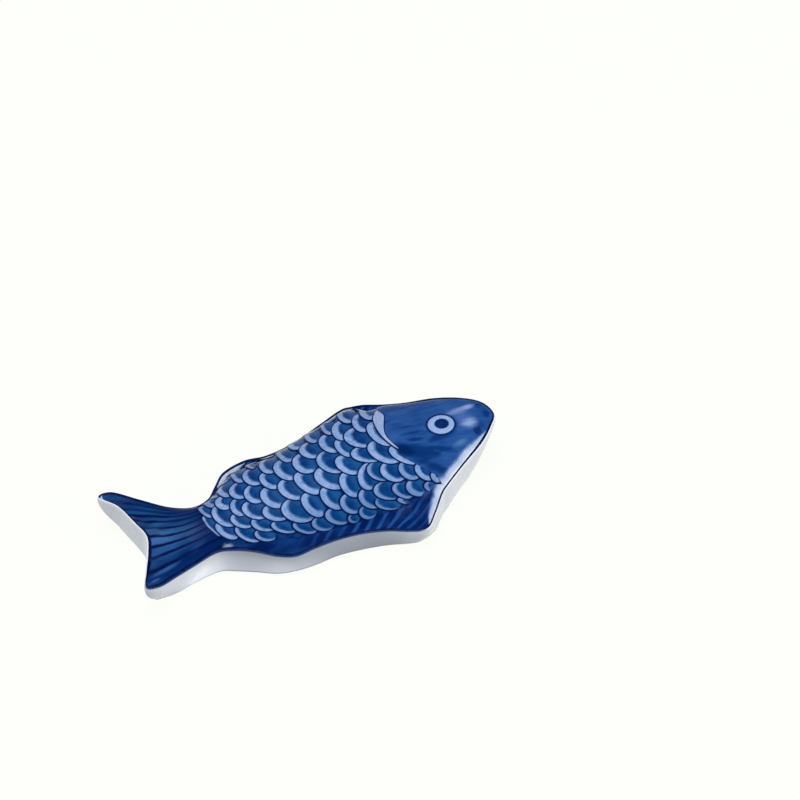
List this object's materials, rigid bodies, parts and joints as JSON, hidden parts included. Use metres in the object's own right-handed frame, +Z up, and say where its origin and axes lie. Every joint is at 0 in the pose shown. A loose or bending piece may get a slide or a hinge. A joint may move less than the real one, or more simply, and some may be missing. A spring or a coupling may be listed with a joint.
{
  "type": "chopstick rest",
  "caption": "Fish-shaped porcelain rest for chopsticks: a glazed white body with blue painted coats, a low tail and a waist that the sticks lie across.",
  "frame": {"origin": "on the table, below the centre of the rest's bounding box", "axes": "+X towards the fish's nose, +Y towards its back fins, +Z up out of the painted flank"},
  "size_m": [0.0649, 0.03, 0.01],
  "materials": {
    "white_porcelain": "clear gloss glaze over white porcelain",
    "head_blue": "brushed blue wash under gloss glaze",
    "scale_blue": "painted scales under gloss glaze",
    "tail_blue": "painted rays under gloss glaze",
    "fin_blue": "painted rays under gloss glaze",
    "line_navy": "dark brush line under gloss glaze",
    "pale_stroke": "pale blue brush stroke under gloss glaze"
  },
  "bodies": {
    "root": {"porcelain_body": "white_porcelain", "head_coat": "head_blue", "gill_stroke": "pale_stroke", "scale_coat": "scale_blue", "tail_coat": "tail_blue", "belly_fin_coat": "fin_blue", "back_fin_coat": "fin_blue", "rear_fin_coat": "fin_blue", "edge_line": "line_navy", "eye_ring": "pale_stroke", "pupil": "line_navy"}
  },
  "joints": []
}
